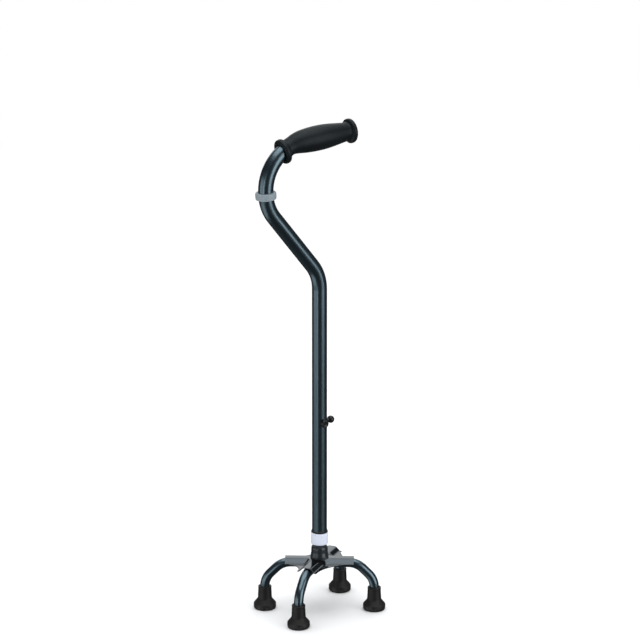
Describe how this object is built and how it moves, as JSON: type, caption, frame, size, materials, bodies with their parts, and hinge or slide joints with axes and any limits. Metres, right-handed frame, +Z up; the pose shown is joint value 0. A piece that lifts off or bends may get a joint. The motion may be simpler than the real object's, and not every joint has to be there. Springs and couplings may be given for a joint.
{
  "type": "quad walking cane",
  "caption": "Offset-handle walking cane with a sliding shaft, sprung height pin, lock collar and a pressed cross base on splayed tube legs with rubber tips.",
  "frame": {"origin": "on the floor under the shaft's axis, at the middle of the four feet", "axes": "+Z up along the shaft; +X the way the free end of the handle points, forward for the user; +Y to the user's left"},
  "size_m": [0.1912, 0.1272, 0.7471],
  "materials": {
    "tube_paint": "dark blue-grey metallic lacquer, glossy",
    "plate_metal": "glossy blue-grey metallic lacquer",
    "hub_black": "glossy black enamel",
    "grip_rubber": "matte dark charcoal with a fine grain",
    "tip_rubber": "matte near-black rubber",
    "grey_rubber": "soft light grey elastomer",
    "white_plastic": "semi-gloss white moulding with a cool tint",
    "black_plastic": "satin black moulding",
    "knob_plastic": "satin to glossy black moulding",
    "nylon": "natural nylon",
    "spring_steel": "black-coated spring steel",
    "zinc_steel": "zinc-plated steel"
  },
  "bodies": {
    "base": {"inner_tube": "tube_paint", "inner_tube_guide": "nylon", "inner_tube_plug": "zinc_steel", "hub_socket": "hub_black", "hub_washer": "zinc_steel", "hub_bolt": "zinc_steel", "cross_plate": "plate_metal", "leg_tube_front_left": "tube_paint", "rubber_tip_front_left": "tip_rubber", "tip_washer_front_left": "zinc_steel", "leg_tube_front_right": "tube_paint", "rubber_tip_front_right": "tip_rubber", "tip_washer_front_right": "zinc_steel", "leg_tube_rear_left": "tube_paint", "rubber_tip_rear_left": "tip_rubber", "tip_washer_rear_left": "zinc_steel", "leg_tube_rear_right": "tube_paint", "rubber_tip_rear_right": "tip_rubber", "tip_washer_rear_right": "zinc_steel"},
    "handle_shaft": {"outer_tube": "tube_paint", "tube_end_lip": "black_plastic", "collet_bush": "nylon", "hand_grip": "grip_rubber", "handle_end_plug": "black_plastic", "strap_ring": "grey_rubber", "spring_band": "spring_steel", "band_stud": "zinc_steel", "stud_cap": "knob_plastic"},
    "collar": {"lock_collar": "white_plastic"},
    "pull_pin": {"lock_pin": "zinc_steel", "ball_knob": "knob_plastic"}
  },
  "joints": [
    {"name": "height_slide", "type": "slide", "parent": "base", "child": "handle_shaft", "axis": [0, 0, 1], "range_m": [0, 0.15]},
    {"name": "pin_pull", "type": "slide", "parent": "handle_shaft", "child": "pull_pin", "axis": [1, 0, 0], "range_m": [0, 0.0032], "stiffness_N_per_m": 1500, "springref_m": -0.003, "deforming": ["spring_band"]},
    {"name": "collar_turn", "type": "hinge", "parent": "handle_shaft", "child": "collar", "pos_m": [0, 0, 0.1127], "axis": [0, 0, 1], "range_deg": [0, 90]}
  ]
}
